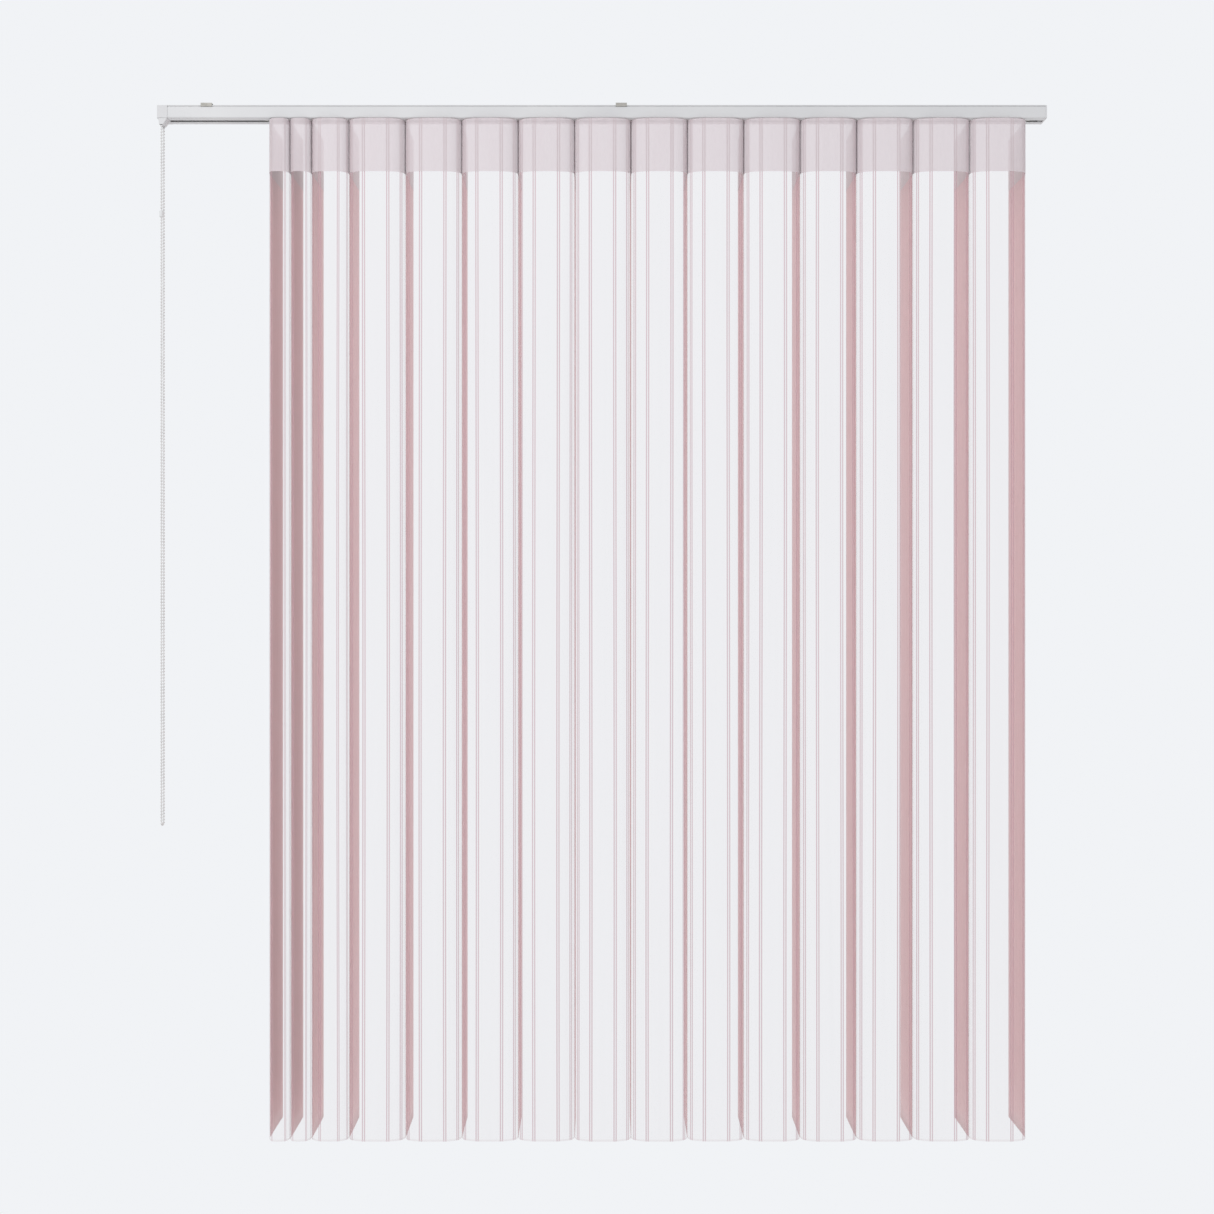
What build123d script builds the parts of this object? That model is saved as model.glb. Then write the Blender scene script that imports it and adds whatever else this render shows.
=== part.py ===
"""Vertical blind with a sheer face: aluminium headrail, sixteen travelling carriers with turning
stems, sixteen opaque fabric vanes, one continuous voile face folded between the vanes, and a
bead-chain control at the left end.

Millimetres. +X runs right along the headrail, +Y towards the window, +Z up. The origin is midway
between the two bracket screw holes, in the plane where the brackets bear on the recess.
"""

import os
from math import cos, pi, radians, sin, tan

from build123d import *

# Headrail
rail_length = 1760.0  # over both end caps
rail_depth = 44.0
rail_height = 26.0
rail_wall = 1.2
rail_corner = 3.0
rail_slot = 12.0  # slot in the floor that the stems pass through
rail_drop = 4.0  # from the recess down to the top of the rail
neck_depth = 1.4  # groove under the top lip, which the brackets grip
neck_height = 1.9
top_lip = 1.6

# Brackets
bracket_spacing = 820.8
bracket_inset = 97.4  # from the left end of the rail to the first bracket
bracket_width = 22.0
bracket_sheet = 1.2
bracket_hole = 2.25  # radius
bracket_nose = 1.4  # how far the hooks stand in front of the rail
hook_gap = 0.4  # hook's toe above the groove's lower side
toe_gap = 0.3  # hook's toe in front of the groove's back

# End caps
control_cap_length = 20.0
return_cap_length = 3.0
cap_overhang = 0.4  # the caps stand proud of the rail's front and back
cap_wall = 0.6  # where the housing is thinnest, in front of the chain
cap_corner = 2.0
cap_plug_length = 8.0
cap_plug_clearance = 0.3
cap_plug_wall = 3.0
cap_side_wall = 3.0  # behind the drive pulley's recess
cap_recess = 4.0  # depth of the drive pulley's recess in the cap's inner face
cap_recess_floor = 2.0  # bottom of that recess above the rail's floor
cap_recess_margin = 2.0  # in front of the draw cord
bearing_wall = 1.5  # round the tilt rod's far end

# Vanes and their spacing along the rail
vane_count = 16
vane_width = 127.0
vane_sheet = 0.6
drop = 2020.0  # cut length of the vanes and of the voile
fabric_gap = 2.0  # from the underside of the rail to the top of the fabric
vane_setback = 0.4  # the vane's front edge behind the seam line
first_margin = 41.5  # from the left end to the first vane when fully closed
last_margin = 38.5  # from the last, fixed vane to the right end
stack_pitch = 42.0  # spacing of two vanes pushed together
part_pitch = 74.0  # third spacing, partly pushed together
stacked_spaces = 2

# Voile face
voile_sheet = 0.6
fold_depth = 30.0  # how far each fold stands in front of the seam line
fold_corner = 20.0

# Carriers
carrier_length = 24.0
carrier_floor_gap = 1.8  # chassis above the rail's floor
chassis_half = 12.0
chassis_height = 4.4
wheel_radius = 2.8
wheel_width = 3.0
wheel_side_gap = 0.3
wheel_clearance = 0.3
axle_radius = 1.2
axle_clearance = 0.1
axle_end = 0.3  # past each wheel
worm_space = 4.7  # radius of the worm's chamber round the tilt rod
worm_space_length = 14.0
carrier_skin = 1.4
carrier_shell = 0.9
carrier_lid = 1.2
link_step = 1.2  # the links run this far below the top of the worm housing

# Spacer links: each runs back over the next carrier, rising so that stacked ones pass
link_width = 5.0
link_sheet = 0.5
link_rise = 0.02  # per millimetre
link_sunk = 0.4
link_overshoot = 13.0

# Stems
stem_radius = 2.6
stem_clearance = 0.4
pinion_tip = 6.6
pinion_root = 5.3
pinion_teeth = 14
pinion_height = 5.6
pinion_clearance = 0.6
tooth_sunk = 0.6  # how far each tooth starts inside the pinion's core
hanger_length = 40.0
hanger_cheek = 0.8
cheek_setback = 0.2  # cheeks behind the vane's front edge
hanger_drop = 12.0
hanger_bar = 1.3
hanger_gap = 0.1  # bar above the vane's top edge

# Tilt rod and chain wheel
worm_pitch = 4.6  # radius at which each worm meets its pinion
rod_below_top = 13.0  # rod axis below the top of the rail
rod_core = 2.0
rod_lobes = 3
rod_lobe = 0.75
rod_lobe_centre = 1.75
rod_bore = 3.0
rod_end_gap = 1.0  # rod's far end to the return cap's face
bearing_clearance = 0.1
bead_pitch = 6.0
bead_radius = 2.25
wheel_beads = 9
wheel_flange = 1.0
chain_clearance = 0.35
bead_hollow = 0.3
sleeve_length = 3.0
sleeve_wall = 1.0
wheel_end_play = 0.4
wheel_inset = 8.0  # chain wheel's middle from the left end

# Bead chain
chain_drop = 1388.0  # from the guide's underside to the bottom of the loop
guide_drop = 12.0  # chain guide below the rail
guide_inset = 2.5
guide_foot = 4.2  # half the guide's width at its underside
guide_corner = 1.2
connector_below = 177.0  # connector's middle below the guide
connector_radius = 3.9
connector_length = 13.0
connector_round = 1.2

# Draw cord and its pulleys, lying flat in the top of the rail
cord_radius = 0.6
pulley_pitch = 8.0
pulley_rim = 0.8  # past the cord's line
pulley_height = 2.7
pulley_pin = 1.8
pulley_clearance = 0.3
drive_pulley_inset = 30.0
return_pulley_inset = 18.0
tongue_sheet = 1.0
tongue_width = 8.0
tongue_gap = 0.2
tongue_root = 5.0  # how far the drive pulley's tongue starts inside its cap
clamp_width = 4.8
clamp_length = 10.0
clamp_gap = 0.4  # clamp's top below the rail's ceiling
clamp_clearance = 0.35

# Rules that several pieces share
past = 1.0  # how far a cut runs past the face that it opens
arc_share = 0.45  # a corner's radius as a share of the shorter run or width beside it

# Places worked out from the sizes above
rail_left = -bracket_spacing / 2 - bracket_inset
rail_right = rail_left + rail_length
tube_left = rail_left + control_cap_length
tube_right = rail_right - return_cap_length
rail_top = -rail_drop
rail_bottom = rail_top - rail_height
rail_floor = rail_bottom + rail_wall
ceiling = rail_top - rail_wall
half_depth = rail_depth / 2
fabric_top = rail_bottom - fabric_gap
fabric_bottom = fabric_top - drop
full_pitch = (rail_length - first_margin - last_margin) / (vane_count - 1)
rod_z = rail_top - rod_below_top
wheel_x = rail_left + wheel_inset
wheel_pitch = wheel_beads * bead_pitch / (2 * pi)
guide_bottom = rail_bottom - guide_drop
chain_bottom = guide_bottom - chain_drop
tongue_top = ceiling - tongue_gap
pulley_top = tongue_top - tongue_sheet - tongue_gap
cord_z = pulley_top - pulley_height / 2
drive_pulley_x = rail_left + drive_pulley_inset
return_pulley_x = rail_right - return_pulley_inset
chassis_bottom = rail_floor + carrier_floor_gap
chassis_top = chassis_bottom + chassis_height
housing_top = rod_z + worm_space + carrier_lid
link_floor = housing_top - link_step
rod_front = pinion_tip + worm_pitch
carrier_front = rod_front + worm_space + carrier_shell
carrier_back = pinion_tip + pinion_clearance + carrier_skin


def rest_places():
    """Vane places from the fixed one at the right end back to the leading one at the left."""
    spaces = [full_pitch] * (vane_count - 1)
    spaces[:stacked_spaces] = [stack_pitch] * stacked_spaces
    spaces[stacked_spaces] = part_pitch
    places = [rail_right - last_margin]
    for space in reversed(spaces):
        places.insert(0, places[0] - space)
    return places


def block(x0, x1, y0, y1, z0, z1):
    """A box between two corners."""
    return Pos((x0 + x1) / 2, (y0 + y1) / 2, (z0 + z1) / 2) * Box(x1 - x0, y1 - y0, z1 - z0)


def rod_along(axis, radius, x0, x1, y, z):
    """A cylinder along X or Y from x0 to x1, or along Z with y and z read as x and y."""
    length = x1 - x0
    middle = (x0 + x1) / 2
    if axis == "X":
        return Pos(middle, y, z) * Rot(0, 90, 0) * Cylinder(radius, length)
    if axis == "Y":
        return Pos(y, middle, z) * Rot(90, 0, 0) * Cylinder(radius, length)
    return Pos(y, z, middle) * Cylinder(radius, length)


def save(name, shape):
    """Writes one node."""
    export_step(shape, f"parts/{name}.step")


def cross_section(depth, top, bottom, corner):
    """A rectangle in the YZ plane with rounded lower corners."""
    outline = Pos(0, (top + bottom) / 2) * Rectangle(depth, top - bottom)
    lower = outline.vertices().group_by(Axis.Y)[0]
    return fillet(lower, corner)


def headrail():
    """Extruded channel: gripped lip along the top, two floors either side of the stem slot."""
    outer = cross_section(rail_depth, rail_top, rail_bottom, rail_corner)
    neck_z = rail_top - top_lip - neck_height / 2
    for side in (-1, 1):
        outer -= Pos(side * half_depth, neck_z) * Rectangle(2 * neck_depth, neck_height)
    neck_bottom = rail_top - top_lip - neck_height
    inner_top = neck_bottom - rail_wall
    inner = cross_section(rail_depth - 2 * rail_wall, inner_top, rail_floor, rail_corner - rail_wall)
    throat = Pos(0, (ceiling + inner_top) / 2) * Rectangle(
        rail_depth - 2 * (rail_wall + neck_depth), ceiling - inner_top
    )
    slot = Pos(0, rail_floor) * Rectangle(rail_slot, 4 * rail_wall)
    profile = outer - inner - throat - slot
    return Pos(tube_left, 0, 0) * extrude(Plane.YZ * profile, tube_right - tube_left)


def bracket(x):
    """Steel strip bent into a shallow C whose hooks grip the rail's top lip."""
    reach = half_depth + bracket_nose
    toe_top = rail_top - top_lip
    toe_bottom = toe_top - neck_height + hook_gap
    strip = block(x - bracket_width / 2, x + bracket_width / 2, -reach, reach, -bracket_sheet, 0)
    for side in (-1, 1):
        leg = sorted((side * reach, side * (reach - bracket_sheet)))
        toe = sorted((side * reach, side * (half_depth - neck_depth + toe_gap)))
        strip += block(x - bracket_width / 2, x + bracket_width / 2, *leg, toe_bottom, 0)
        strip += block(x - bracket_width / 2, x + bracket_width / 2, *toe, toe_bottom, toe_top)
    return strip - rod_along("Z", bracket_hole, -2 * bracket_sheet, bracket_sheet, x, 0)


def cap_outline(front, back):
    """The caps' face, flush with the rail's top and floor, with the stated reach front and back."""
    face = Pos((back - front) / 2, (rail_top + rail_bottom) / 2) * RectangleRounded(
        front + back, rail_height, cap_corner
    )
    return Plane.YZ * face


def cap_plug(x0, x1):
    """The part of a cap that fills the rail's sides and floor, clear of what runs inside."""
    low = rail_floor + cap_plug_clearance
    high = rail_top - top_lip - neck_height - rail_wall - cap_plug_clearance
    width = rail_depth - 2 * (rail_wall + cap_plug_clearance)
    section = cross_section(width, high, low, rail_corner - rail_wall - cap_plug_clearance)
    section -= Pos(0, high) * Rectangle(width - 2 * cap_plug_wall, 2 * (high - low - cap_plug_wall))
    section -= Pos(0, low) * Rectangle(rail_slot, 4 * cap_plug_wall)
    return Pos(x0, 0, 0) * extrude(Plane.YZ * section, x1 - x0)


def tongue(x_cap, x_pulley, toward):
    """Arm over a pulley, with the pin that the pulley turns on."""
    far = x_pulley + toward * tongue_width / 2
    low, high = sorted((x_cap, far))
    arm = block(low, high, -tongue_width / 2, tongue_width / 2, tongue_top - tongue_sheet, tongue_top)
    pin_bottom = pulley_top - pulley_height
    return arm + rod_along("Z", pulley_pin, pin_bottom, tongue_top, x_pulley, 0)


def chain_guide(left, right, front, back):
    """Hopper under the housing, narrowing down to the chain's two strands."""
    outline = Polyline(
        (left, rail_bottom),
        (right, rail_bottom),
        (wheel_x + guide_foot, guide_bottom),
        (wheel_x - guide_foot, guide_bottom),
        close=True,
    )
    hopper = Pos(0, front, 0) * extrude(Plane.XZ * make_face(outline), -(back - front))
    level = hopper.edges().filter_by(Axis.X) + hopper.edges().filter_by(Axis.Y)
    return fillet([edge for edge in hopper.edges() if edge not in level], guide_corner)


def control_end_cap():
    """Moulded housing round the chain wheel, with the chain guide under it."""
    x0, x1 = rail_left, tube_left
    hollow = wheel_pitch + bead_radius + chain_clearance
    back = half_depth + cap_overhang
    front = max(back, rod_front + hollow + cap_wall)
    cap = Pos(x0, 0, 0) * extrude(cap_outline(front, back), x1 - x0)
    cap += chain_guide(x0 + guide_inset, x1, -front, hollow - rod_front + cap_wall)
    wheel_half = bead_radius + chain_clearance + wheel_flange
    cap -= rod_along("X", hollow, wheel_x - wheel_half - wheel_end_play, x1 + past, -rod_front, rod_z)
    for side in (-1, 1):
        strand = rod_along(
            "Z", bead_radius + chain_clearance, guide_bottom - past, rod_z, wheel_x, side * wheel_pitch
        )
        cap -= Pos(0, -rod_front, 0) * strand
    recess_front = -pulley_pitch - cap_recess_margin
    recess_back = half_depth - cap_side_wall
    recess_floor = rail_floor + cap_recess_floor
    recess_top = pulley_top + pulley_clearance
    cap -= block(x1 - cap_recess, x1 + past, recess_front, recess_back, recess_floor, recess_top)
    return cap + tongue(x1 - tongue_root, drive_pulley_x, 1)


def return_end_cap():
    """Moulded plug that closes the right end and carries the rod's bearing and return pulley."""
    reach = half_depth + cap_overhang
    cap = Pos(tube_right, 0, 0) * extrude(cap_outline(reach, reach), rail_right - tube_right)
    cap += cap_plug(tube_right - cap_plug_length, tube_right)
    bearing = rod_core + bearing_wall + rod_lobe
    inner_end = tube_right - cap_plug_length
    boss = rod_along("X", bearing, inner_end, tube_right, -rod_front, rod_z)
    hole_radius = rod_lobe_centre + rod_lobe + bearing_clearance
    hole = rod_along("X", hole_radius, inner_end - past, tube_right, -rod_front, rod_z)
    cap = cap + boss - hole
    return cap + tongue(tube_right, return_pulley_x, -1)


def chain_sprocket():
    """Flanged wheel with a hollow for each bead, on a short sleeve over the rod."""
    floor = wheel_pitch - bead_radius - chain_clearance
    half = bead_radius + chain_clearance
    rim = wheel_pitch + bead_radius / 2
    wheel = rod_along("X", floor, wheel_x - half, wheel_x + half, -rod_front, rod_z)
    for k in range(wheel_beads):
        angle = 2 * pi * k / wheel_beads
        y = -rod_front + wheel_pitch * sin(angle)
        z = rod_z + wheel_pitch * cos(angle)
        wheel -= rod_along("X", half + bead_hollow, wheel_x - half - past, wheel_x + half + past, y, z)
    for side in (-1, 1):
        x0, x1 = sorted((wheel_x + side * half, wheel_x + side * (half + wheel_flange)))
        wheel += rod_along("X", rim, x0, x1, -rod_front, rod_z)
    sleeve_end = wheel_x + half + wheel_flange + sleeve_length
    wheel += rod_along("X", rod_bore + sleeve_wall, wheel_x, sleeve_end, -rod_front, rod_z)
    lobe = rod_lobe_centre + rod_lobe
    return wheel - rod_along("X", lobe, wheel_x, sleeve_end + past, -rod_front, rod_z)


def tilt_rod():
    """Three-lobed drawn rod that turns every stem through the worms inside the carriers."""
    profile = Circle(rod_core)
    for k in range(rod_lobes):
        profile += Rot(0, 0, 360 * k / rod_lobes) * Pos(rod_lobe_centre, 0) * Circle(rod_lobe)
    end = tube_right - rod_end_gap
    return Pos(wheel_x, -rod_front, rod_z) * extrude(Plane.YZ * profile, end - wheel_x)


def chain_route():
    """Corner points of the hanging loop: down the front strand, across, and up the back one."""
    front = -rod_front - wheel_pitch
    back = -rod_front + wheel_pitch
    return [
        (wheel_x, front, rod_z),
        (wheel_x, front, chain_bottom),
        (wheel_x, back, chain_bottom),
        (wheel_x, back, rod_z),
    ]


def bead_chain():
    """The chain as a plain tube: over the wheel, down, and round the bottom of the loop."""
    corners = chain_route()
    loop_radius = arc_share * 2 * wheel_pitch / tan(radians(45))
    hanging = FilletPolyline(*corners, radius=loop_radius)
    ring = Circle(bead_radius)
    tube = sweep(Plane(origin=hanging @ 0, z_dir=hanging % 0) * ring, path=hanging)
    wrap = ThreePointArc(corners[3], (wheel_x, -rod_front, rod_z + wheel_pitch), corners[0])
    tube += sweep(Plane(origin=wrap @ 0, z_dir=wrap % 0) * ring, path=wrap)
    print("chain loop radii", round(loop_radius, 3), round(wheel_pitch, 3))
    length = hanging.length + wrap.length
    print("chain volume / section x length", round(tube.volume / (pi * bead_radius**2 * length), 4))
    return tube


def chain_connector():
    """Clear-fit barrel that joins the two ends of the chain on the front strand."""
    middle = guide_bottom - connector_below
    y = -rod_front - wheel_pitch
    low, high = middle - connector_length / 2, middle + connector_length / 2
    barrel = rod_along("Z", connector_radius, low, high, wheel_x, y)
    barrel = fillet(barrel.edges(), connector_round)
    return barrel - rod_along("Z", bead_radius, low - past, high + past, wheel_x, y)


def pulley(x):
    """Grooved pulley lying flat, turning on the cap's pin."""
    outer = pulley_pitch + pulley_rim
    groove_floor = pulley_pitch - cord_radius - pulley_clearance
    half = cord_radius + pulley_clearance
    z0 = pulley_top - pulley_height
    wheel = rod_along("Z", outer, z0, pulley_top, x, 0)
    ring = rod_along("Z", outer + past, cord_z - half, cord_z + half, x, 0)
    ring -= rod_along("Z", groove_floor, cord_z - half - past, cord_z + half + past, x, 0)
    wheel -= ring
    return wheel - rod_along("Z", pulley_pin + pulley_clearance, z0 - past, pulley_top + past, x, 0)


def draw_cord():
    """Endless cord round both pulleys; the leading carrier is clamped to its rear run."""
    left, right = drive_pulley_x, return_pulley_x
    front = Line((left, -pulley_pitch, cord_z), (right, -pulley_pitch, cord_z))
    turn_right = ThreePointArc(
        (right, -pulley_pitch, cord_z), (right + pulley_pitch, 0, cord_z), (right, pulley_pitch, cord_z)
    )
    back = Line((right, pulley_pitch, cord_z), (left, pulley_pitch, cord_z))
    turn_left = ThreePointArc(
        (left, pulley_pitch, cord_z), (left - pulley_pitch, 0, cord_z), (left, -pulley_pitch, cord_z)
    )
    cord = None
    for path in (front, turn_right, back, turn_left):
        span = sweep(Plane(origin=path @ 0, z_dir=path % 0) * Circle(cord_radius), path=path)
        cord = span if cord is None else cord + span
    return cord


def spacer_link():
    """Thin strip from a carrier back over the next one, rising a little along its length."""
    reach = full_pitch + link_overshoot
    low = link_floor - link_sunk
    edge = Polyline(
        (0, low),
        (-reach, low + link_rise * reach),
        (-reach, low + link_rise * reach + link_sheet),
        (0, low + link_sheet),
        close=True,
    )
    return extrude(Plane.XZ * make_face(edge), -link_width)


def carrier(x, leading):
    """Moulded carrier with its two wheels; all but the leading one also hold a spacer link."""
    half = carrier_length / 2
    housing_back = carrier_front - 2 * rod_front
    housing_floor = rod_z - worm_space - carrier_lid / 2
    body = block(-half, half, -carrier_front, housing_back, housing_floor, housing_top)
    body += block(-half, half, -rod_front, carrier_back, chassis_top, link_floor)
    body += block(-half, half, -chassis_half, chassis_half, chassis_bottom, chassis_top)
    body -= rod_along("X", rod_bore, -half - past, half + past, -rod_front, rod_z)
    space = worm_space_length / 2
    body -= rod_along("X", worm_space, -space, space, -rod_front, rod_z)
    room = pinion_height / 2 + pinion_clearance
    body -= rod_along("Z", pinion_tip + pinion_clearance, rod_z - room, rod_z + room, 0, 0)
    stem_bore = stem_radius + stem_clearance
    body -= rod_along("Z", stem_bore, chassis_bottom - past, rod_z, 0, 0)
    wheel_z = rail_floor + wheel_clearance + wheel_radius
    outer = chassis_half + wheel_side_gap + wheel_width
    axle = rod_along("Y", axle_radius, -outer - axle_end, outer + axle_end, 0, wheel_z)
    body += axle - rod_along("Z", stem_bore, chassis_bottom - past, chassis_top + past, 0, 0)
    if leading:
        near, far = pulley_pitch - clamp_width / 2, pulley_pitch + clamp_width / 2
        clamp = block(0, clamp_length, near, far, link_floor - carrier_lid, ceiling - clamp_gap)
        grip = cord_radius + clamp_clearance
        body += clamp - rod_along("X", grip, -past, clamp_length + past, pulley_pitch, cord_z)
    else:
        body += spacer_link()
    parts = [body]
    for side in (-1, 1):
        near, far = sorted((side * (chassis_half + wheel_side_gap), side * outer))
        wheel = rod_along("Y", wheel_radius, near, far, 0, wheel_z)
        bore = rod_along("Y", axle_radius + axle_clearance, near - past, far + past, 0, wheel_z)
        parts.append(wheel - bore)
    return Compound(children=[Pos(x, 0, 0) * piece for piece in parts])


def stem(x):
    """Stem with the pinion its worm turns, and the hanger that grips the vane's top edge."""
    teeth = Circle(pinion_root)
    for k in range(pinion_teeth):
        tooth = Pos((pinion_root + pinion_tip - tooth_sunk) / 2, 0) * Rectangle(
            pinion_tip - pinion_root + tooth_sunk, pinion_root * pi / pinion_teeth
        )
        teeth += Rot(0, 0, 360 * k / pinion_teeth) * tooth
    pinion = Pos(0, 0, rod_z - pinion_height / 2) * extrude(teeth, pinion_height)
    bar_bottom = fabric_top + hanger_gap
    shaft = rod_along("Z", stem_radius, bar_bottom, rod_z, 0, 0)
    cheek_outer = vane_sheet / 2 + hanger_cheek
    bar_top = bar_bottom + hanger_bar
    hanger = block(-cheek_outer, cheek_outer, -stem_radius, hanger_length, bar_bottom, bar_top)
    front = vane_setback + cheek_setback
    for side in (-1, 1):
        near, far = sorted((side * vane_sheet / 2, side * cheek_outer))
        hanger += block(near, far, front, hanger_length, fabric_top - hanger_drop, bar_bottom)
    return Pos(x, 0, 0) * (pinion + shaft + hanger)


def vane(x):
    """Opaque fabric vane standing straight back from the seam line."""
    half = vane_sheet / 2
    return block(x - half, x + half, vane_setback, vane_setback + vane_width, fabric_bottom, fabric_top)


def sheer_face(places):
    """One continuous voile, folded forward between each pair of vanes and seamed at each vane."""
    profile = None
    for left, right in zip(places, places[1:]):
        width = right - left + voile_sheet
        corner = min(fold_corner, arc_share * width)
        middle = (left + right) / 2
        fold = RectangleRounded(width, 2 * fold_depth, corner)
        fold -= RectangleRounded(
            width - 2 * voile_sheet, 2 * (fold_depth - voile_sheet), corner - voile_sheet
        )
        fold = Pos(middle, 0) * fold
        profile = fold if profile is None else profile + fold
    span = places[-1] - places[0] + 2 * vane_width
    middle = (places[0] + places[-1]) / 2
    profile &= Pos(middle, -fold_depth) * Rectangle(span, 2 * fold_depth)
    return Pos(0, 0, fabric_bottom) * extrude(profile, drop)


os.makedirs("parts", exist_ok=True)
places = rest_places()
brackets = [bracket(side * bracket_spacing / 2) for side in (-1, 1)]
save("headrail", headrail())
save("mounting_brackets", Compound(children=brackets))
save("control_end_cap", control_end_cap())
save("return_end_cap", return_end_cap())
save("chain_sprocket", chain_sprocket())
save("tilt_rod", tilt_rod())
save("bead_chain", bead_chain())
save("chain_connector", chain_connector())
save("drive_pulley", pulley(drive_pulley_x))
save("return_pulley", pulley(return_pulley_x))
save("draw_cord", draw_cord())
save("sheer_face", sheer_face(places))
for number, x in enumerate(places, start=1):
    save(f"carrier_{number:02d}", carrier(x, number == 1))
    save(f"stem_{number:02d}", stem(x))
    save(f"vane_{number:02d}", vane(x))
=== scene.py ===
"""Vertical blind with a sheer face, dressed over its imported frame.

Metres throughout, in the frame's own axes: +X right along the headrail, +Y towards the window, +Z up.
"""
import math

import bmesh
import bpy
import numpy as np
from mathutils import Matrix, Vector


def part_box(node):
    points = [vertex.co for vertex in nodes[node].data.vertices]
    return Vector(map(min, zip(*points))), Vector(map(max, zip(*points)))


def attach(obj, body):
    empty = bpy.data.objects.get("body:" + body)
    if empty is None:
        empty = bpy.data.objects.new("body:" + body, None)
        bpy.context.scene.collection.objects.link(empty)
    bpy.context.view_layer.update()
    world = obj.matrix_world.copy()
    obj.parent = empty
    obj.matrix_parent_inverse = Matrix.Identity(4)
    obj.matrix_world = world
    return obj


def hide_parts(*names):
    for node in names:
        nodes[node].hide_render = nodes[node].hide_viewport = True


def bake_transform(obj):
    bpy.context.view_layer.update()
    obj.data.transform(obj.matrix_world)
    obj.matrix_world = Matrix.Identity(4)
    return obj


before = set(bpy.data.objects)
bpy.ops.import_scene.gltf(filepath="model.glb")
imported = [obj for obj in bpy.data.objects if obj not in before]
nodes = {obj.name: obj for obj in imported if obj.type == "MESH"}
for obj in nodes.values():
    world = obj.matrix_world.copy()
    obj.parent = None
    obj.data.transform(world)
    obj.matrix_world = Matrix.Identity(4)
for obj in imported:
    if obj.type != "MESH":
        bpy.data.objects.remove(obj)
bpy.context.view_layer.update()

# ---------------------------------------------------------------- camera, light and floor
# A level camera on the middle of the headrail, half way down the drop, as a person stands in front
# of a window. The room is pale and evenly lit, with one large soft light high on the left, and the
# floor runs back to just behind the blind.
seam_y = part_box("sheer_face")[1].y
blind_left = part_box("control_end_cap")[0].x
blind_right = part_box("return_end_cap")[1].x
stand_back = 3.242
eye_height = -0.997
sensor_width = 36.0  # millimetres, as the lens length is
lens_length = 48.28
lens_shift = 0.0041
view_depth = 50.0

camera_data = bpy.data.cameras.new("camera")
camera_data.sensor_width = sensor_width
camera_data.lens = lens_length
camera_data.shift_x = lens_shift
camera_data.clip_end = view_depth
camera = bpy.data.objects.new("camera", camera_data)
camera.location = ((blind_left + blind_right) / 2, seam_y - stand_back, eye_height)
camera.rotation_euler = (math.radians(90), 0, 0)
bpy.context.scene.collection.objects.link(camera)
bpy.context.scene.camera = camera
bpy.context.scene.view_settings.view_transform = "Standard"

room_colour = (0.88, 0.895, 0.92)
room_strength = 1.0
world = bpy.data.worlds.new("pale_room")
world.use_nodes = True
room = world.node_tree.nodes["Background"]
room.inputs["Color"].default_value = (*room_colour, 1)
room.inputs["Strength"].default_value = room_strength
bpy.context.scene.world = world


def soft_light(name, place, aim, size, power):
    """A square area light at place, turned to face aim."""
    data = bpy.data.lights.new(name, "AREA")
    data.shape = "SQUARE"
    data.size = size
    data.energy = power
    light = bpy.data.objects.new(name, data)
    light.location = place
    away = np.array(place) - np.array(aim)
    flat = math.hypot(away[0], away[1])
    light.rotation_euler = (math.atan2(flat, away[2]), 0, math.atan2(away[0], -away[1]))
    bpy.context.scene.collection.objects.link(light)


def finish_nodes(name, colour, roughness):
    """A new material and its shader, with colour and roughness set on the shader's own sockets."""
    material = bpy.data.materials.new(name)
    material.use_nodes = True
    shader = material.node_tree.nodes["Principled BSDF"]
    shader.inputs["Base Color"].default_value = (*colour, 1)
    shader.inputs["Roughness"].default_value = roughness
    return material, material.node_tree, shader


def new_piece(name, vertices, faces, material):
    """A smooth mesh object from an array of points and a list of faces, with one material."""
    mesh = bpy.data.meshes.new(name)
    mesh.from_pydata(vertices.tolist(), [], faces)
    mesh.materials.append(material)
    mesh.polygons.foreach_set("use_smooth", [True] * len(mesh.polygons))
    piece = bpy.data.objects.new(name, mesh)
    bpy.context.scene.collection.objects.link(piece)
    return piece


soft_light("room_light", place=(-1.3, -2.9, 0.9), aim=(0.4, 0.0, -0.9), size=2.0, power=26)

floor_left = -3.0
floor_right = 4.0
floor_front = -3.0
floor_back = 1.2
floor_level = -2.8
floor_corners = np.array(
    [
        (floor_left, floor_front, floor_level),
        (floor_right, floor_front, floor_level),
        (floor_right, floor_back, floor_level),
        (floor_left, floor_back, floor_level),
    ]
)
floor_paint, _, _ = finish_nodes("pale_floor", colour=(0.8, 0.8, 0.79), roughness=0.8)
new_piece("floor", floor_corners, [(0, 1, 2, 3)], floor_paint)

# ---------------------------------------------------------------- bead chain
# An endless loop of white plastic beads moulded on a polyester cord, 4.5 mm beads 6 mm apart. It
# hangs from the wheel in the left end cap, front strand and back strand, and its two ends meet in a
# clear barrel on the front strand.
bead_diameter = 0.0045
bead_spacing = 0.006
bead_rounding = 2  # subdivisions, which give eighty faces
cord_radius = 0.0007
cord_sides = 6
ring_spacing = 0.003
line_steps = 24  # points read from the curve for each of its spans

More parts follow.
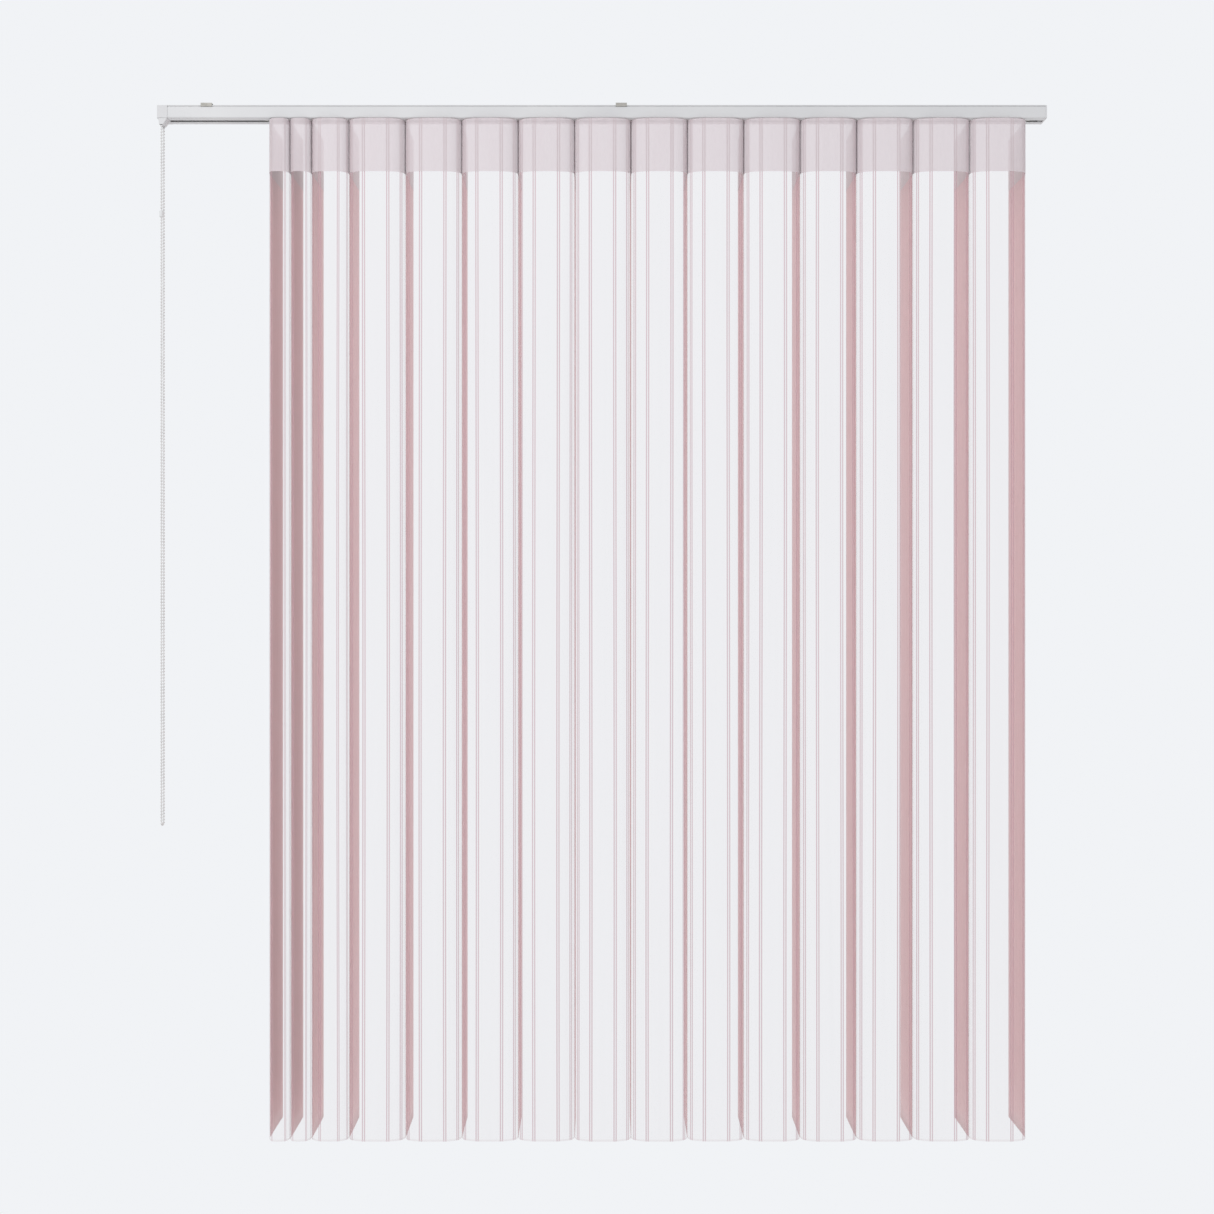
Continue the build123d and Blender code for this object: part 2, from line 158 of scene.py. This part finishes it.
chain_x = -0.4998
strand_front = -0.019794
strand_back = -0.002606
chain_top = -0.042
chain_foot = -1.43
strand_gap = strand_back - strand_front
bend_start = 1.2 * strand_gap
bend_side = 0.38 * strand_gap
bend_inset = 0.14 * strand_gap
bend_foot = 0.06 * strand_gap
chain_route = [
    (chain_x, strand_front, chain_top),
    (chain_x, strand_front, chain_foot + bend_start),
    (chain_x, strand_front, chain_foot + bend_side),
    (chain_x, strand_front + bend_inset, chain_foot + bend_foot),
    (chain_x, strand_back - bend_inset, chain_foot + bend_foot),
    (chain_x, strand_back, chain_foot + bend_side),
    (chain_x, strand_back, chain_foot + bend_start),
    (chain_x, strand_back, chain_top),
]


def add_node(tree, kind, **settings):
    """A node of that kind with its attributes set from the keywords."""
    node = tree.nodes.new(kind)
    for key, value in settings.items():
        setattr(node, key, value)
    return node


def bump_from(tree, shader, height, strength, distance):
    """Feeds a height through a Bump node into the shader's normal."""
    bump = add_node(tree, "ShaderNodeBump")
    bump.inputs["Strength"].default_value = strength
    bump.inputs["Distance"].default_value = distance
    tree.links.new(height, bump.inputs["Height"])
    tree.links.new(bump.outputs["Normal"], shader.inputs["Normal"])


def noise_at(tree, scale, detail=2.0, stretch=(1, 1, 1)):
    """Noise on Object coordinates, stretched by a Mapping node's scale."""
    place = add_node(tree, "ShaderNodeTexCoord")
    mapping = add_node(tree, "ShaderNodeMapping")
    mapping.inputs["Scale"].default_value = stretch
    noise = add_node(tree, "ShaderNodeTexNoise")
    noise.inputs["Scale"].default_value = scale
    noise.inputs["Detail"].default_value = detail
    tree.links.new(place.outputs["Object"], mapping.inputs["Vector"])
    tree.links.new(mapping.outputs["Vector"], noise.inputs["Vector"])
    return noise.outputs["Fac"]


def tinted(tree, shader, fac, low, high, low_at=0.3, high_at=0.7):
    """Base colour that runs evenly from low to high as fac goes from low_at to high_at."""
    ramp = add_node(tree, "ShaderNodeValToRGB")
    ramp.color_ramp.elements[0].position = low_at
    ramp.color_ramp.elements[0].color = (*low, 1)
    ramp.color_ramp.elements[1].position = high_at
    ramp.color_ramp.elements[1].color = (*high, 1)
    tree.links.new(fac, ramp.inputs["Fac"])
    tree.links.new(ramp.outputs["Color"], shader.inputs["Base Color"])


def dress(name, material):
    """Gives a CAD node one material in place of its own."""
    nodes[name].data.materials.clear()
    nodes[name].data.materials.append(material)


def spline_line(points):
    """Points read along the NURBS curve whose control points are given."""
    data = bpy.data.curves.new("route", "CURVE")
    data.dimensions = "3D"
    spline = data.splines.new("NURBS")
    spline.points.add(len(points) - 1)
    for control, point in zip(spline.points, points):
        control.co = (*point, 1)
    spline.order_u = 3
    spline.use_endpoint_u = True
    spline.resolution_u = line_steps
    holder = bpy.data.objects.new("route", data)
    bpy.context.scene.collection.objects.link(holder)
    mesh = bpy.data.meshes.new_from_object(holder)
    line = np.empty(len(mesh.vertices) * 3)
    mesh.vertices.foreach_get("co", line)
    bpy.data.objects.remove(holder)
    return line.reshape(-1, 3)


def along(line, spacing):
    """Points at an even spacing along a line, by straight interpolation on its length."""
    steps = np.linalg.norm(np.diff(line, axis=0), axis=1)
    travelled = np.concatenate(([0], np.cumsum(steps)))
    count = int(travelled[-1] / spacing)
    wanted = (np.arange(count) + 0.5) * travelled[-1] / count
    return np.column_stack([np.interp(wanted, travelled, line[:, k]) for k in range(3)])


def one_bead(radius):
    """A bead as an icosphere: its points and its triangles."""
    shape = bmesh.new()
    bmesh.ops.create_icosphere(shape, subdivisions=bead_rounding, radius=radius)
    points = np.array([v.co for v in shape.verts])
    triangles = np.array([[v.index for v in f.verts] for f in shape.faces])
    shape.free()
    return points, triangles


def strung_beads(places, radius):
    """The bead's points added to each place, and its triangles counted on from bead to bead."""
    points, triangles = one_bead(radius)
    vertices = (places[:, None, :] + points[None, :, :]).reshape(-1, 3)
    first = np.arange(len(places)) * len(points)
    faces = (triangles[None, :, :] + first[:, None, None]).reshape(-1, 3)
    return vertices, faces


def cord_tube(line, radius, sides):
    """A tube round a line that keeps to one x: each ring is the line's point plus radius times
    cos(turn) along x and sin(turn) square to both x and the line, with a face over each end.
    """
    forward = np.gradient(line, axis=0)
    forward /= np.linalg.norm(forward, axis=1)[:, None]
    across = np.tile([1.0, 0.0, 0.0], (len(line), 1))
    upright = np.cross(forward, across)
    turn = np.arange(sides) * 2 * math.pi / sides
    vertices = (
        line[:, None, :]
        + radius * np.cos(turn)[None, :, None] * across[:, None, :]
        + radius * np.sin(turn)[None, :, None] * upright[:, None, :]
    ).reshape(-1, 3)
    ring = np.arange(len(line) - 1)[:, None] * sides
    side = np.arange(sides)[None, :]
    ahead = (side + 1) % sides
    walls = np.stack([ring + side, ring + ahead, ring + sides + ahead, ring + sides + side], axis=-1)
    first_ring = np.arange(sides)
    ends = np.stack([first_ring[::-1], first_ring + len(vertices) - sides])
    return vertices, walls.reshape(-1, 4), ends


chain_finish, tree, shader = finish_nodes("bead_plastic", colour=(0.72, 0.72, 0.7), roughness=0.22)
shader.inputs["Coat Weight"].default_value = 0.3
tinted(tree, shader, noise_at(tree, scale=40), low=(0.62, 0.61, 0.6), high=(0.74, 0.73, 0.72))
bump_from(tree, shader, noise_at(tree, scale=900), strength=0.1, distance=0.0001)

chain_line = spline_line(chain_route)
bead_vertices, bead_faces = strung_beads(along(chain_line, bead_spacing), bead_diameter / 2)
cord_line = np.vstack([chain_line[:1], along(chain_line, ring_spacing), chain_line[-1:]])
cord_vertices, cord_walls, cord_ends = cord_tube(cord_line, cord_radius, cord_sides)
chain_faces = bead_faces.tolist()
chain_faces += (cord_walls + len(bead_vertices)).tolist()
chain_faces += (cord_ends + len(bead_vertices)).tolist()
chain_loop = new_piece(
    "bead_chain_loop", np.vstack([bead_vertices, cord_vertices]), chain_faces, chain_finish
)

connector_finish, tree, shader = finish_nodes(
    "connector_plastic", colour=(0.76, 0.76, 0.75), roughness=0.3
)
tinted(tree, shader, noise_at(tree, scale=60), low=(0.66, 0.66, 0.66), high=(0.74, 0.74, 0.74))
bump_from(tree, shader, noise_at(tree, scale=700), strength=0.15, distance=0.0001)
dress("chain_connector", connector_finish)

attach(chain_loop, "root")
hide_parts("bead_chain")

# ---------------------------------------------------------------- headrail
# Extruded aluminium channel with a white satin powder coat, faintly orange-peeled. Its lip and
# grooves come from the die, so they run its whole length.
rail_finish, tree, shader = finish_nodes("rail_coat", colour=(0.66, 0.65, 0.65), roughness=0.36)
tinted(tree, shader, noise_at(tree, scale=6), low=(0.62, 0.615, 0.62), high=(0.67, 0.665, 0.665))
bump_from(tree, shader, noise_at(tree, scale=1400, detail=3), strength=0.12, distance=0.0002)
dress("headrail", rail_finish)

# ---------------------------------------------------------------- brackets
# Two spring-steel clips, zinc plated, screwed up into the head of the recess. Their hooks grip the
# lip along the top of the rail, front and back.
bracket_finish, tree, shader = finish_nodes("zinc_plate", colour=(0.4, 0.385, 0.35), roughness=0.5)
shader.inputs["Metallic"].default_value = 0.4
plating = noise_at(tree, scale=90, detail=4)
tinted(tree, shader, plating, low=(0.33, 0.32, 0.29), high=(0.45, 0.43, 0.4))
rolling_marks = noise_at(tree, scale=500, detail=3, stretch=(1, 8, 1))
bump_from(tree, shader, rolling_marks, strength=0.2, distance=0.0002)
dress("mounting_brackets", bracket_finish)

# ---------------------------------------------------------------- end caps, wheel and pulleys
# Injection-moulded white plastic with a fine spark-eroded texture on the faces that show, and the
# moving pieces inside the rail in a slicker, greyer nylon. The rod is drawn aluminium and the cord
# is braided.
cap_finish, tree, shader = finish_nodes("moulded_white", colour=(0.66, 0.655, 0.645), roughness=0.5)
tinted(tree, shader, noise_at(tree, scale=20), low=(0.63, 0.62, 0.625), high=(0.67, 0.665, 0.665))
bump_from(tree, shader, noise_at(tree, scale=2200), strength=0.25, distance=0.0001)

nylon_finish, tree, shader = finish_nodes("nylon_natural", colour=(0.72, 0.71, 0.66), roughness=0.4)
tinted(tree, shader, noise_at(tree, scale=50), low=(0.68, 0.67, 0.62), high=(0.76, 0.75, 0.7))
bump_from(tree, shader, noise_at(tree, scale=1500), strength=0.15, distance=0.0001)

rod_finish, tree, shader = finish_nodes("drawn_rod", colour=(0.74, 0.74, 0.75), roughness=0.3)
shader.inputs["Metallic"].default_value = 0.9
drawing_lines = noise_at(tree, scale=700, stretch=(0.02, 1, 1))
bump_from(tree, shader, drawing_lines, strength=0.2, distance=0.0001)
tinted(tree, shader, noise_at(tree, scale=30), low=(0.68, 0.68, 0.69), high=(0.8, 0.8, 0.81))

braid_finish, tree, shader = finish_nodes("cord_braid", colour=(0.78, 0.77, 0.73), roughness=0.85)
bump_from(tree, shader, noise_at(tree, scale=1800), strength=0.5, distance=0.0002)
tinted(tree, shader, noise_at(tree, scale=400), low=(0.7, 0.69, 0.65), high=(0.82, 0.81, 0.78))

for name in ("control_end_cap", "return_end_cap"):
    dress(name, cap_finish)
for name in ("chain_sprocket", "drive_pulley", "return_pulley"):
    dress(name, nylon_finish)
dress("tilt_rod", rod_finish)
dress("draw_cord", braid_finish)

# ---------------------------------------------------------------- carriers and stems
# Each carrier is a nylon moulding on two wheels that runs inside the rail; the stem below it holds
# the vane's top edge between two cheeks, as a clothes peg would.
vane_total = sum(name.startswith("vane_") for name in nodes)
for number in range(1, vane_total + 1):
    dress(f"carrier_{number:02d}", nylon_finish)
    dress(f"stem_{number:02d}", cap_finish)

# ---------------------------------------------------------------- voile face
# One width of polyester voile, seamed to the front edge of each vane so that it springs forward in
# a round column between them. Pairs of thicker warp threads run down it, four pairs to a fold. Its
# top is turned over into a doubled header band, and its foot into a narrow hem.
voile_low, voile_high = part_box("sheer_face")
voile_top = voile_high.z
voile_drop = voile_high.z - voile_low.z
header_height = 0.105
header_proud = 0.0006  # the header band's front layer in front of the voile
seams = [sum(p.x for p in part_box(f"vane_{n:02d}")) / 2 for n in range(1, vane_total + 1)]
full_space = seams[-1] - seams[-2]
fold_depth = seam_y - voile_low.y - header_proud
fold_roundness = 2.9  # the superellipse's power
outline_steps = 1500
measuring_columns = 400
fold_columns = 41
fold_rows = 64
header_rows = 8

pair_places = (0.024, 0.049)  # warp pairs either side of a full fold's middle, across its width
thread_offset = 0.0021  # each thread of a pair from the pair's middle
thread_half = 0.0012
gather_power = 6.0  # how sharply the cover rises towards a seam
seam_shade_power = 14.0  # how near to a seam its darker colour stays: the seam's own tone with painted crevice shade
right_shade_power = 4.0  # how near to a fold's right seam the painted right-side shade stays
loose_cover = 0.85  # share of the cover where the weave is loosest
cover_swing = 0.3
hem_width = 0.004
hem_cover = 0.42

breath = 0.02  # share of a fold's depth that comes and goes down the drop
breath_wave = 3.1  # radians for each metre
breath_step = 1.7  # radians from fold to fold
breath_from = 0.4  # metres down, where it is at its full
lean_most = 0.0007
lean_wave = 2.3  # radians for each metre
lean_step = 2.9  # radians from fold to fold


def fold_outline(width, depth, columns):
    """A superellipse's front half, |x/a|^n + |y/b|^n = 1, at even spacing along its own length.

    Returns x from the fold's middle, how far it stands forward, and the length along it in metres.
    """
    angle = np.linspace(math.pi, 0, outline_steps)
    power = 2 / fold_roundness
    x = width / 2 * np.sign(np.cos(angle)) * np.abs(np.cos(angle)) ** power
    forward = depth * np.abs(np.sin(angle)) ** power
    length = np.concatenate(([0], np.cumsum(np.hypot(np.diff(x), np.diff(forward)))))
    even = np.linspace(0, length[-1], columns)
    return np.interp(even, length, x), np.interp(even, length, forward), even


def cloth_grid(name, x, y, z, u, v, material):
    """A sheet from equal 2-D arrays of x, y and z, with u and v in metres as its UV map."""
    rows, columns = x.shape
    vertices = np.stack([x, y, z], axis=-1).reshape(-1, 3)
    row = np.arange(rows - 1)[:, None] * columns
    column = np.arange(columns - 1)[None, :]
    corner = row + column
    faces = np.stack([corner, corner + 1, corner + columns + 1, corner + columns], axis=-1)
    faces = faces.reshape(-1, 4)
    piece = new_piece(name, vertices, faces.tolist(), material)
    layer = piece.data.uv_layers.new(name="cloth")
    uv = np.stack([u, v], axis=-1).reshape(-1, 2)[faces.reshape(-1)]
    layer.data.foreach_set("uv", uv.astype(np.float32).ravel())
    return piece


def maths(tree, operation, first, second=None, clamp=False):
    """A Math node of one or two inputs, each a socket or a number."""
    node = add_node(tree, "ShaderNodeMath", operation=operation, use_clamp=clamp)
    for socket, value in zip(node.inputs, (first, second)):
        if value is None:
            continue
        if isinstance(value, (int, float)):
            socket.default_value = value
        else:
            tree.links.new(value, socket)
    return node.outputs["Value"]


def cloth_place(tree):
    """The u and v of the cloth's own UV map, in metres."""
    uv = add_node(tree, "ShaderNodeUVMap", uv_map="cloth")
    parts = add_node(tree, "ShaderNodeSeparateXYZ")
    tree.links.new(uv.outputs["UV"], parts.inputs["Vector"])
    return parts.outputs["X"], parts.outputs["Y"]


full_x, _, full_length = fold_outline(full_space, fold_depth, measuring_columns)
cloth_width = full_length[-1]
pair_on_cloth = [
    float(np.interp(place, full_x, full_length) - cloth_width / 2) for place in pair_places
]


def warp_pairs(tree, u):
    """1 on the thicker threads and 0 between them."""
    sideways = maths(tree, "ABSOLUTE", u)
    found = None
    for place in pair_on_cloth:
        from_pair = maths(tree, "ABSOLUTE", maths(tree, "SUBTRACT", sideways, place))
        from_thread = maths(tree, "ABSOLUTE", maths(tree, "SUBTRACT", from_pair, thread_offset))
        here = maths(tree, "LESS_THAN", from_thread, thread_half)
        found = here if found is None else maths(tree, "MAXIMUM", found, here)
    return found


def mixed(tree, factor, low, high):
    """Colour low where the factor is 0 and high where it is 1; each is a colour or a socket."""
    mix = add_node(tree, "ShaderNodeMix", data_type="RGBA")
    tree.links.new(factor, mix.inputs["Factor"])
    colour_ins = [s for s in mix.inputs if s.type == "RGBA"]
    colour_out = next(s for s in mix.outputs if s.type == "RGBA")
    for socket, value in zip(colour_ins, (low, high)):
        if isinstance(value, tuple):
            socket.default_value = (*value, 1)
        else:
            tree.links.new(value, socket)
    return colour_out


def voile_finish(
    name, colour, seam_and_shade_colour, clear, gathered, right_side_shade, thread_cover, thread_colour, edge
):
    """Sheer cloth: its cover rises from clear in a fold's middle to gathered at its seams.

    Each fold greys towards its right-hand seam, a painted shade as if lit from the left.
    The last few millimetres, from edge down the drop, are the hem, folded under, two layers thick.
    """
    material, tree, shader = finish_nodes(name, colour, roughness=0.8)
    shader.inputs["Sheen Weight"].default_value = 0.15
    u, v = cloth_place(tree)
    threads = warp_pairs(tree, u)

    sideways = maths(tree, "DIVIDE", maths(tree, "ABSOLUTE", u), cloth_width / 2)
    near_seam = maths(tree, "POWER", sideways, gather_power)
    cover = maths(tree, "ADD", maths(tree, "MULTIPLY", near_seam, gathered - clear), clear)
    uneven = noise_at(tree, scale=60, detail=3, stretch=(1, 1, 0.03))
    uneven = maths(tree, "ADD", maths(tree, "MULTIPLY", uneven, cover_swing), loose_cover)
    cover = maths(tree, "MULTIPLY", cover, uneven)
    hem = maths(tree, "MULTIPLY", maths(tree, "GREATER_THAN", v, edge), hem_cover)
    cover = maths(tree, "MAXIMUM", cover, hem)
    cover = maths(tree, "MAXIMUM", cover, maths(tree, "MULTIPLY", threads, thread_cover), clamp=True)
    tree.links.new(cover, shader.inputs["Alpha"])

    # Painted shade: the colour darkens close to each seam, which is the seam's own tone with painted
    # shade of the crevice between folds. It also greys towards each fold's right seam, a painted shade
    # as if lit from the left.
    rightward = maths(tree, "DIVIDE", u, cloth_width / 2, clamp=True)
    painted_right_shade = maths(tree, "MULTIPLY", maths(tree, "POWER", rightward, right_shade_power), right_side_shade)
    seam_and_shade = maths(tree, "MAXIMUM", maths(tree, "POWER", sideways, seam_shade_power), painted_right_shade)
    plain = mixed(tree, seam_and_shade, colour, seam_and_shade_colour)
    tree.links.new(mixed(tree, threads, plain, thread_colour), shader.inputs["Base Color"])
    weave = noise_at(tree, scale=900, stretch=(1, 1, 0.15))
    bump_from(tree, shader, weave, strength=0.2, distance=0.0002)
    return material


def fold_sheet(name, left, right, depth, top, height, rows, number, material):
    """A column of cloth between two seams: the fold's outline carried down the drop.

    Its depth breathes and its middle leans by sines of the drop, each by under a millimetre, so that
    no two folds hang the same.
    """
    x, forward, length = fold_outline(right - left, depth, fold_columns)
    down = np.linspace(0, height, rows)[:, None]
    breathing = 1 + breath * np.sin(down * breath_wave + number * breath_step) * np.clip(
        down / breath_from, 0, 1
    )
    lean = lean_most * np.sin(down * lean_wave + number * lean_step)
    lean = lean * np.sin(np.linspace(0, math.pi, fold_columns))
    grid_x = (left + right) / 2 + x[None, :] + lean
    grid_y = seam_y - forward[None, :] * breathing
    grid_z = np.repeat(top - down, fold_columns, axis=1)
    across_cloth = (length / length[-1] - 0.5) * cloth_width
    grid_u = np.repeat(across_cloth[None, :], rows, axis=0)
    grid_v = np.repeat(down, fold_columns, axis=1)
    upward = slice(None, None, -1)  # rows run from the foot up, so that faces point into the room
    piece = cloth_grid(
        name, grid_x[upward], grid_y[upward], grid_z[upward], grid_u[upward], grid_v[upward], material
    )
    return piece, float(length[-1])


# On the voile the greyer seam colour is the seam's own tone with painted crevice shade, and a faint
# painted shade greys each fold's right side.
voile = voile_finish(
    "voile_weave",
    colour=(0.76, 0.69, 0.7),
    seam_and_shade_colour=(0.62, 0.5, 0.52),
    clear=0.19,
    gathered=0.36,
    right_side_shade=0.1,
    thread_cover=0.62,
    thread_colour=(0.55, 0.35, 0.39),
    edge=voile_drop - hem_width,
)
# On the header the dark grey seam colour is painted shade in the deep crevice between columns, and a
# stronger painted shade greys each column's right side.
header_voile = voile_finish(
    "voile_header",
    colour=(0.71, 0.63, 0.65),
    seam_and_shade_colour=(0.3, 0.28, 0.28),
    clear=0.78,
    gathered=0.95,
    right_side_shade=0.5,
    thread_cover=0.9,
    thread_colour=(0.61, 0.52, 0.535),
    edge=header_height,
)

for number in range(1, vane_total):
    left, right = seams[number - 1], seams[number]
    fold, width = fold_sheet(
        f"voile_fold_{number:02d}", left, right, fold_depth, voile_top, voile_drop, fold_rows,
        number, voile,
    )
    header, _ = fold_sheet(
        f"header_band_{number:02d}", left, right, fold_depth + header_proud, voile_top,
        header_height, header_rows, number, header_voile,
    )
    for piece in (fold, header):
        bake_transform(piece)
        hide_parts("sheer_face")

# ---------------------------------------------------------------- vanes
# Opaque woven polyester strips, dusty pink, stiffened so that they hang flat. The top of each is
# turned over into a paler doubled header where the hanger grips it.
vane_columns = 13
vane_rows = 60
vane_thickness = 0.0006
vane_header_height = 0.105
vane_header_rows = 12
vane_header_half = 0.00055  # each face of the turned-over header from the vane's middle
bow_most = 0.0004
bow_wave = 2.2  # radians for each metre of drop
bow_from = 0.3  # metres down, where it is at its full


def vane_weave(name, low, high):
    """Plain weave with a slight slub: colour and relief from noise drawn out along the drop."""
    material, tree, shader = finish_nodes(name, colour=low, roughness=0.82)
    shader.inputs["Sheen Weight"].default_value = 0.25
    slub = noise_at(tree, scale=220, detail=3, stretch=(1, 1, 0.06))
    tinted(tree, shader, slub, low, high)
    weft = noise_at(tree, scale=700, stretch=(0.3, 0.3, 1))
    bump_from(tree, shader, maths(tree, "ADD", slub, weft), strength=0.35, distance=0.0003)
    return material


def bowed(number, across, down):
    """How far a vane stands out of its own plane, under half a millimetre: sin(down) x sin(across)."""
    bow = bow_most * np.sin(down * bow_wave + number) * np.sin(across * math.pi)
    return bow * np.clip(down / bow_from, 0, 1)


def vane_strip(name, number, sideways, down, material):
    """A strip in the vane's own plane, from a profile of equal lists: sideways, and down the drop."""
    low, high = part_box(f"vane_{number:02d}")
    across = np.linspace(0, 1, vane_columns)[None, :]
    fall = np.asarray(down)[:, None]
    x = (low.x + high.x) / 2 + np.asarray(sideways)[:, None] + bowed(number, across, fall)
    y = np.repeat(low.y + (high.y - low.y) * across, len(fall), axis=0)
    z = np.repeat(high.z - fall, vane_columns, axis=1)
    return cloth_grid(name, x, y, z, y, np.repeat(fall, vane_columns, axis=1), material)


vane_cloth = vane_weave("vane_weave", low=(0.74, 0.48, 0.48), high=(0.81, 0.54, 0.54))
vane_header_cloth = vane_weave("vane_header", low=(0.62, 0.52, 0.52), high=(0.7, 0.6, 0.6))

# The turned-over header's profile, up the right face and down the left, so that faces point outwards.
header_fall = np.linspace(vane_header_height, 0, vane_header_rows)
over_top = np.concatenate((header_fall, header_fall[::-1]))
over_side = np.repeat((vane_header_half, -vane_header_half), vane_header_rows)

for number in range(1, vane_total + 1):
    low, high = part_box(f"vane_{number:02d}")
    width = high.y - low.y
    length = high.z - low.z
    down = np.linspace(0, length, vane_rows)
    strip = vane_strip(f"vane_cloth_{number:02d}", number, np.zeros(vane_rows), down, vane_cloth)
    wall = strip.modifiers.new("cloth_thickness", "SOLIDIFY")
    wall.thickness = vane_thickness
    wall.offset = 0
    header = vane_strip(
        f"vane_header_{number:02d}", number, over_side, over_top, vane_header_cloth
    )
    for piece in (strip, header):
        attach(piece, f"turning_vane_{number:02d}")
        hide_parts(f"vane_{number:02d}")
